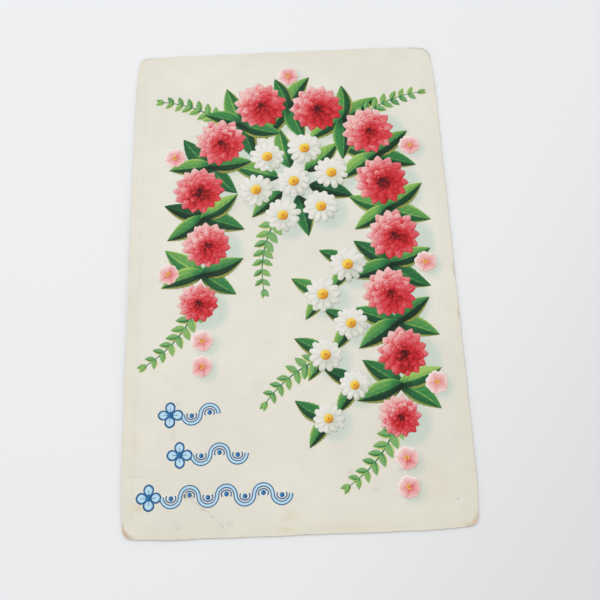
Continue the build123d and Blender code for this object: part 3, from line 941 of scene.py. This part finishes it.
class POSTCARD_OT_blossoms(bpy.types.Operator):
    """Make the small pale pink blossoms with five notched petals and a ring of stamens"""

    bl_idname = "postcard.blossoms"
    bl_label = "Make blossoms"

    def execute(self, context):
        sizes, inks = context.scene.postcard_sizes, context.scene.postcard_inks
        pink = blend(inks.blush, inks.rose, 0.3)
        stops = inks.scarlet, inks.rose, pink, inks.blush, blend(inks.blush, WHITE, 0.65)
        flowers = flower_parts(
            BLOSSOMS, seed=500, rings=BLOSSOM_RINGS, stops=stops, paint=BLOSSOM_PAINT,
            side=2 * sizes.petal_grid - 3, narrow=0.38, notch=0.10, tilt=0.3,
        )
        stops = inks.amber, inks.yellow, blend(inks.yellow, WHITE, 0.5)
        parts = []
        for petals, place in zip(flowers, BLOSSOMS):
            parts += [*petals, stamens(*place, stops)]
        finish = print_finish("blossom_print", dots=0.03, streaks=0.05)
        make_piece("blossoms", parts, finish, ["pale_pink_ink"])
        return {"FINISHED"}


def leaf_veins(u, v):
    """Six pairs of side veins along a leaf, swept back from its midrib, as a wave of -1 to 1."""
    return np.sin(2 * np.pi * (6 * u - 1.6 * np.abs(v)))


def leaf_blades(roots, heading, length, width, rise, rows, columns, teeth=0.0, bend=0.0, lap=0.0):
    """Pointed leaves, along u from stalk to tip and across v: as wide as a skewed sine, blunt for a hair at
    both ends, with teeth, a grooved midrib, veins, a sideways bend and a lift by the lap. Gives points, u
    and v."""
    steps = (1 - np.cos(np.linspace(0, np.pi, rows))) / 2
    u, v = np.meshgrid(steps, np.linspace(-1, 1, columns), indexing="ij")
    half = np.maximum(np.sin(np.pi * u**0.82) ** 0.9, 0.02) * (1 + teeth * np.abs(((u * 9) % 1) - 0.5))
    length, width, bend, lap = (
        np.broadcast_to(value, len(heading))[:, None, None] for value in (length, width, bend, lap)
    )
    along = length * u - 0.12 * width * np.abs(v) * (1 - u)
    across = width / 2 * half * v + bend * length * (u - u * u)
    dome = (1 - v**4) * np.sin(np.pi * np.clip(u, 0.02, 0.98)) ** 0.5
    blade = 0.5 + 0.5 * dome - 0.30 * bell(0.13, v) + 0.03 * leaf_veins(u, v)
    height = LEAF_FOOT + lap + rise * blade
    points = turned(np.stack(np.broadcast_arrays(along, across, height), -1), heading)
    points[..., :2] += roots[:, None, None, :]
    return points, u, v


def leaf_tone(u, v, heading, dice, base):
    """A leaf's tone: one half lit and the other dark by how it lies to the light, a pale midrib and veins,
    and a pale edge on the lit side."""
    side = np.sin(LIGHT_FROM - heading)[:, None, None]
    vein = np.clip(leaf_veins(u, v), 0, 1) ** 3
    tone = base + 0.26 * side * np.tanh(4 * v) - 0.22 * ease(0.35, 0.0, u) + 0.10 * vein * (1 - np.abs(v))
    tone = tone + 0.20 * bell(0.08, v) + 0.22 * ease(0.72, 1.0, np.abs(v)) * (side * np.sign(v) > 0)
    return tone + dice.normal(0, 0.07, len(heading))[:, None, None]


def leaf_part(roots, heading, length, width, rise, stops, dice, base, fringe, **shape):
    """Painted leaves on the panel, with a share of yellow fringe along the edge away from the light."""
    points, u, v = leaf_blades(roots, heading, length, width, rise, **shape)
    tone = leaf_tone(u, v, heading, dice, base)
    top, foot, colours, grain = relief(points, stops, tone, petal_grain(points, 2 * u - 1, v, dice))
    away = -np.sign(v) * np.sin(LIGHT_FROM - heading)[:, None, None]
    edge = fringe * ease(0.74, 0.80, np.abs(v)) * ease(0.15, 0.35, away) * ease(0.12, 0.3, u)
    colours += (linear(bpy.context.scene.postcard_inks.fringe) - colours) * edge[..., None]
    return top, foot, colours, grain


class POSTCARD_OT_leaves(bpy.types.Operator):
    """Make the dark green leaves in the gaps of the garland and behind the daisies"""

    bl_idname = "postcard.leaves"
    bl_label = "Make leaves"

    def execute(self, context):
        inks = context.scene.postcard_inks
        dice = np.random.default_rng(700)
        middle = (BLOOMS[1:, :2] + BLOOMS[:-1, :2]) / 2
        way = BLOOMS[1:, :2] - BLOOMS[:-1, :2]
        outward = np.arctan2(-way[:, 0], way[:, 1])
        gaps = [outward + turn + side for turn in (0, np.pi) for side in (-LEAF_SPLAY, LEAF_SPLAY)]
        ring = np.radians(RING_TURN + 360.0 / RING_LEAVES * (np.arange(RING_LEAVES) + 0.5))
        ring_roots = BOUQUET + DAISY_RADIUS * np.stack((np.cos(ring), np.sin(ring)), 1)
        trail = np.radians(np.repeat(TRAIL_HEADINGS, len(TRAIL)))
        heading = np.concatenate((*gaps, ring, trail))
        roots = np.concatenate((np.tile(middle, (4, 1)), ring_roots, np.tile(TRAIL[:, :2], (2, 1))))
        size = np.where(np.arange(len(heading)) < len(heading) - len(trail), 1.0, TRAIL_SHARE)
        size = size * (1 + dice.normal(0, 0.05, len(heading)))
        lap = np.zeros(len(heading))
        lap[: 4 * len(middle)] = np.repeat(LEAF_LAPS, len(middle))
        lit = blend(inks.leaf_light, WHITE, 0.3)
        stops = blend(inks.leaf_dark, BLACK, 0.4), inks.leaf_dark, inks.leaf, inks.leaf_light, lit
        part = leaf_part(
            roots, heading, LEAF_LENGTH * size, LEAF_WIDTH * size, LEAF_RISE, stops, dice, base=0.38,
            fringe=0.45, rows=29, columns=15, teeth=0.10, bend=dice.normal(0, 0.12, len(heading)), lap=lap,
        )
        finish = print_finish("leaf_print", dots=0.08, streaks=0.08)
        make_piece("leaves", [part], finish, ["leaf_green_ink"])
        return {"FINISHED"}


def stroke(path, width, rise, columns=7):
    """A raised line along a path: across v it is half round, and it tapers with the widths given."""
    way = np.gradient(path, axis=0)
    way /= np.linalg.norm(way, axis=1, keepdims=True)
    across = np.stack((-way[:, 1], way[:, 0]), 1)
    v = np.linspace(-1, 1, columns)
    width = np.broadcast_to(width, len(path))
    flat = path[:, None, :] + across[:, None, :] * (width[:, None] / 2 * v)[..., None]
    height = np.broadcast_to(rise * np.sqrt(np.clip(1 - 0.9 * v * v, 0, 1)), flat.shape[:-1])
    return np.concatenate((flat, height[..., None]), -1)[None], np.broadcast_to(v, flat.shape[:-1])[None]


def stem_path(root, heading, bend, length, count=40):
    """A stem's arc as places and headings: its heading turns evenly by the bend over its length."""
    headings = heading + bend * np.linspace(0, 1, count)
    arc = length / bend
    x = root[0] + arc * (np.sin(headings) - math.sin(heading))
    y = root[1] + arc * (math.cos(heading) - np.cos(headings))
    return np.stack((x, y), 1), headings


def sprig_roots():
    """Each sprig's root, its heading in degrees and the side it bends to: at both ends of the garland, at
    both shoulders of its arch, under the bouquet and beside the trail."""
    foot, head = BLOOMS[0, :2], BLOOMS[-1, :2]
    pitch = np.hypot(*(BLOOMS[1, :2] - foot))
    corner = (BLOOMS[:4, 0].mean() - BOUQUET[0]) * math.sqrt(0.5)
    return (
        (head, -110.0, -1),
        (BOUQUET + np.array((corner, corner)), 45.0, -1),
        (BOUQUET + np.array((-corner, corner)), 135.0, 1),
        (foot, -110.0, -1),
        (BOUQUET - np.array((DAISY_RADIUS, BOUQUET_RING)), -120.0, 1),
        (np.array((TRAIL[:, 0].max() - DAISY_RADIUS, foot[1] + pitch)), 195.0, 1),
    )


class POSTCARD_OT_sprigs(bpy.types.Operator):
    """Make the light green sprigs: bent stems with paired leaflets that shorten to the tip"""

    bl_idname = "postcard.sprigs"
    bl_label = "Make sprigs"

    def execute(self, context):
        inks = context.scene.postcard_inks
        dice = np.random.default_rng(900)
        lit = blend(inks.sprig, inks.leaf_light, 0.4)
        stops = inks.leaf_dark, inks.leaf, inks.sprig, lit, inks.leaf_light
        parts = []
        for root, heading, side in sprig_roots():
            path, headings = stem_path(root, math.radians(heading), side * SPRIG_BEND, SPRIG_LENGTH)
            points, v = stroke(path, np.linspace(*STEM_WIDTHS, len(path)), STEM_RISE)
            parts.append(relief(points, stops, 0.30 - 0.25 * v))
            at = np.linspace(0, len(path) - 1, SPRIG_PAIRS + 1).astype(int)[1:]
            size = 1 - LEAFLET_TAPER * at / (len(path) - 1)
            for flip in (1, -1):
                splay = LEAFLET_SPLAY * flip * np.where(at == at[-1], 0.35, 1.0)
                turn = headings[at] + splay + dice.normal(0, 0.10, len(at))
                part = leaf_part(
                    path[at], turn, LEAFLET_LENGTH * size, LEAFLET_WIDTH * size, LEAFLET_RISE, stops, dice,
                    base=0.52 + 0.08 * flip, fringe=0.8, rows=13, columns=11, lap=0.01 + 0.01 * flip,
                )
                parts.append(part)
        finish = print_finish("sprig_print", dots=0.08, streaks=0.06)
        make_piece("sprigs", parts, finish, ["sprig_green_ink"])
        return {"FINISHED"}


def scroll_path(start, middle, waves):
    """A row's running scroll: half circles below and above its middle line by turns, and the end point."""
    wave = np.repeat(np.arange(waves), 24)
    within = np.tile(np.linspace(0, np.pi, 25)[:-1], waves)
    x = start + WAVE_SPAN * (wave + 0.5) - WAVE_SPAN / 2 * np.cos(within)
    y = middle + np.where(wave % 2, 1.0, -1.0) * WAVE_SPAN / 2 * np.sin(within)
    return np.concatenate((np.stack((x, y), 1), [(start + WAVE_SPAN * waves, middle)]))


def bead(x, y, radius, low, stops, tone):
    """A half ball of ornament at a place, painted a little deeper to its right, a painted shade on the side
    away from the light.
    """
    p, q = disc_grid(side=9)
    points = np.stack((x + radius * p, y + radius * q, low + BEAD_RISE * half_ball(p, q)), -1)[None]
    return relief(points, stops, tone - 0.2 * p)


class POSTCARD_OT_ornament(bpy.types.Operator):
    """Make the blue ornament at the lower left: rows of running scroll with beads, each led by a rosette"""

    bl_idname = "postcard.ornament"
    bl_label = "Make ornament"

    def execute(self, context):
        inks = context.scene.postcard_inks
        dice = np.random.default_rng(1100)
        stops = blend(inks.blue, BLACK, 0.25), inks.blue, inks.pale_blue, blend(inks.pale_blue, WHITE, 0.5)
        arc = np.linspace(-0.2 * np.pi, 1.2 * np.pi, 24)
        parts = []
        for row, (inset, waves) in enumerate(ORNAMENT_ROWS):
            centre = inset - PANEL_HALF[0] + ROSETTE
            middle = ROW_FOOT - PANEL_HALF[1] + row * ROW_PITCH
            start = centre + ROSETTE
            points, v = stroke(scroll_path(start, middle, waves), SCROLL_WIDTH, SCROLL_RISE, 11)
            parts.append(relief(points, stops, np.where(np.abs(v) > 0.55, 0.16, 0.66)))
            for number in range(waves):
                crest = start + WAVE_SPAN * (number + 0.5)
                swing = 1.0 if number % 2 else -1.0
                parts.append(bead(crest, middle + swing * CREST_LIFT, BEAD, BEAD_FOOT, stops, 0.30))
                curl_y = middle + swing * (CREST_LIFT + CURL * np.sin(arc)) * 0.8
                curl = np.stack((crest + CURL * np.cos(arc), curl_y), 1)
                points, v = stroke(curl, CURL_WIDTH, CURL_RISE, 5)
                parts.append(relief(points, stops, 0.22 + 0.1 * v))
            points, p, q, _, _ = petal_ring(
                count=4, inner=0.3, outer=ROSETTE, width=1.35, low=0.0, rise=ROSETTE_RISE, turn=0.0,
                dice=dice, side=17, narrow=0.12, tip=0.04,
            )
            points = points + np.array((centre, middle, 0.0))
            tone = 0.68 - 0.56 * ease(0.62, 0.78, np.hypot(p, q))
            tone = tone - 0.30 * bell(0.09, q) * ease(0.35, -0.2, p)
            parts.append(relief(points, stops, tone, petal_grain(points, p, q, dice)))
            parts.append(bead(centre, middle, ROSETTE_EYE, ROSETTE_RISE, stops, 0.22))
        finish = print_finish("ornament_print", dots=0.08, streaks=0.05)
        make_piece("ornament", parts, finish, ["blue_ink"])
        return {"FINISHED"}


def rule_bars(low, high):
    """The lower and upper corners of a rule's bars: the rule itself, or the four sides of a frame."""
    if min(high - low) < 1.0:
        return [(low, high)]
    (x0, y0), (x1, y1) = low, high
    foot, head = y0 + RULE_WIDTH, y1 - RULE_WIDTH
    left, right = x0 + RULE_WIDTH, x1 - RULE_WIDTH
    return [(low, (x1, foot)), ((x0, head), high), ((x0, foot), (left, head)), ((right, foot), (x1, head))]


def bar_steps(low, high):
    """Grid lines along one side of a bar: about 1.5 mm apart, or three across its width."""
    return np.linspace(low, high, max(2, int((high - low) / 1.5)) if high - low > 1 else 3)


class POSTCARD_OT_back_rules(bpy.types.Operator):
    """Make the printed rules of the divided back"""

    bl_idname = "postcard.back_rules"
    bl_label = "Make back rules"

    def execute(self, context):
        inks = context.scene.postcard_inks
        stops = blend(inks.sepia, BLACK, 0.2), inks.sepia, blend(inks.sepia, inks.back, 0.4)
        parts = []
        for points in loose_parts("back_rule_ink"):
            for (x0, y0), (x1, y1) in rule_bars(points[:, :2].min(axis=0), points[:, :2].max(axis=0)):
                x, y = np.meshgrid(bar_steps(x0, x1), bar_steps(y0, y1), indexing="ij")
                rest = lie(x, y)
                tone = ramp(stops, 0.5 + 0.5 * mottle(x, y, 7.0, 41))
                parts.append(sheet_part(x, y, rest + RULE_SINK, rest - RULE_PROUD, tone))
        finish = print_finish("back_rule_print", dots=0.15, streaks=0.0)
        make_piece("back_rules", parts, finish, ["back_rule_ink"])
        return {"FINISHED"}


class POSTCARD_OT_wear(bpy.types.Operator):
    """Make the cracked line of the corner crease, with painted shade in the crack and a painted highlight
    beside it, and the dark specks on the face
    """

    bl_idname = "postcard.wear"
    bl_label = "Make wear"

    def execute(self, context):
        paper = context.scene.postcard_inks.paper
        # Paper deepened for the crease's crack and its painted shade, and lightened for its painted
        # highlight
        stops = blend(paper, BLACK, 0.16), blend(paper, BLACK, 0.07), blend(paper, WHITE, 0.3)
        speck_stops = blend(paper, BLACK, 0.34), blend(paper, BLACK, 0.14)
        steps = np.concatenate(((0,), np.cumsum(np.linalg.norm(np.diff(CREASE, axis=0), axis=1))))
        parts = []
        for first, last, count, force in ((0.15, 6.0, 50, 0.3), (16.0, steps[-1] - 0.25, 170, 1.0)):
            at = np.linspace(first, last, count)
            x = np.interp(at, steps, CREASE[:, 0]) + 0.16 * mottle(at, 0 * at, 2.6, 51)
            y = np.interp(at, steps, CREASE[:, 1]) + 0.20 * mottle(at, 0 * at, 2.1, 52)
            taper = ease(first - 0.5, first + 2.5, at) * ease(last + 0.5, last - 1.5, at)
            strength = force * taper * np.clip(0.40 + 0.75 * mottle(at, 0 * at, 5.0, 53), 0.05, 1.0)
            rise = (0.010 + 0.055 * ease(15.0, 16.0, at) * ease(25.5, 24.5, at))[:, None]
            # A darker line, the crack partly deepened by painted shade, and a paler one beside it, a painted
            # highlight on the ridge
            dark, pale = (0.0, 0.04 + 0.32 * strength, 0.40), (0.22, 0.03 + 0.18 * strength, 0.95)
            for shift, width, tone in (dark, pale):
                points, v = stroke(np.stack((x + shift, y + shift * 0.6), 1), width, rise, 5)
                points[..., 2] += face_rise(points[..., 0], points[..., 1])
                parts.append(relief(points, stops, tone + 0.1 * v))
        p, q = disc_grid(side=7)
        for speck_x, speck_y, radius in SPECKS:
            wobble = radius * (1 + 0.25 * np.sin(3 * np.arctan2(q, p) + speck_x))
            points = np.stack((p * wobble, 0.7 * q * wobble, 0.02 + 0.02 * (1 - p * p - q * q)), -1)[None]
            parts.append(relief(points, speck_stops, 0.4 + 0.3 * p, x=speck_x, y=speck_y))
        finish = print_finish("wear_print", dots=0.12, streaks=0.0)
        make_piece("crease_and_specks", parts, finish, [])
        return {"FINISHED"}


class POSTCARD_OT_stage(bpy.types.Operator):
    """Set the camera, the table and the soft light"""

    bl_idname = "postcard.stage"
    bl_label = "Set stage"

    def execute(self, context):
        stage, scene = context.scene.postcard_stage, context.scene
        scene.view_settings.view_transform = "Standard"
        camera = bpy.data.objects.new("camera", bpy.data.cameras.new("camera"))
        scene.collection.objects.link(camera)
        back = -Vector(stage.look).normalized()
        right = Vector(stage.up).cross(back).normalized()
        camera.matrix_world = Matrix((right, back.cross(right), back)).transposed().to_4x4()
        camera.location = stage.eye
        camera.data.sensor_width = 36.0
        camera.data.lens = stage.lens
        camera.data.clip_start = 0.01
        scene.camera = camera
        mesh = bpy.data.meshes.new("table")
        around = ((-1, -1), (1, -1), (1, 1), (-1, 1))
        corners = [(TABLE_HALF * side, TABLE_HALF * end, -TABLE_DROP) for side, end in around]
        mesh.from_pydata(corners, [], [(0, 1, 2, 3)])
        mesh.materials.append(table_finish(np.array(stage.table)))
        table = bpy.data.objects.new("table", mesh)
        scene.collection.objects.link(table)
        lamp = bpy.data.objects.new("soft_lamp", bpy.data.lights.new("soft_lamp", "AREA"))
        lamp.data.energy = stage.lamp
        lamp.data.size = LAMP_SIZE
        lamp.location = LAMP_PLACE
        lamp.rotation_euler = (-Vector(LAMP_PLACE)).to_track_quat("-Z", "Y").to_euler()
        scene.collection.objects.link(lamp)
        scene.world = bpy.data.worlds.new("even_light")
        scene.world.use_nodes = True
        sky = scene.world.node_tree.nodes["Background"].inputs
        sky["Color"].default_value = (1.0, 1.0, 1.0, 1.0)
        sky["Strength"].default_value = stage.sky
        return {"FINISHED"}


OPERATORS = (
    POSTCARD_OT_plies,
    POSTCARD_OT_face,
    POSTCARD_OT_leaves,
    POSTCARD_OT_sprigs,
    POSTCARD_OT_blooms,
    POSTCARD_OT_daisies,
    POSTCARD_OT_blossoms,
    POSTCARD_OT_ornament,
    POSTCARD_OT_back_rules,
    POSTCARD_OT_wear,
    POSTCARD_OT_stage,
)


class POSTCARD_PT_panel(bpy.types.Panel):
    """Lists the steps that make the postcard"""

    bl_idname = "POSTCARD_PT_panel"
    bl_label = "Embossed Postcard"
    bl_space_type = "VIEW_3D"
    bl_region_type = "UI"
    bl_category = "Postcard"

    def draw(self, context):
        for operator in OPERATORS:
            self.layout.operator(operator.bl_idname)


GROUPS = {"postcard_sizes": PostcardSizes, "postcard_inks": PostcardInks, "postcard_stage": PostcardStage}


def register():
    """Registers the classes and puts the settings on the scene."""
    for made in (*GROUPS.values(), *OPERATORS, POSTCARD_PT_panel):
        bpy.utils.register_class(made)
    for name, group in GROUPS.items():
        setattr(bpy.types.Scene, name, bpy.props.PointerProperty(type=group))


def unregister():
    """Takes the settings and the classes away again."""
    for name in GROUPS:
        delattr(bpy.types.Scene, name)
    for made in (POSTCARD_PT_panel, *OPERATORS, *GROUPS.values()):
        bpy.utils.unregister_class(made)


def main():
    """Makes the whole postcard."""
    register()
    for operator in OPERATORS:
        group, name = operator.bl_idname.split(".")
        getattr(getattr(bpy.ops, group), name)()


if __name__ == "__main__":
    main()
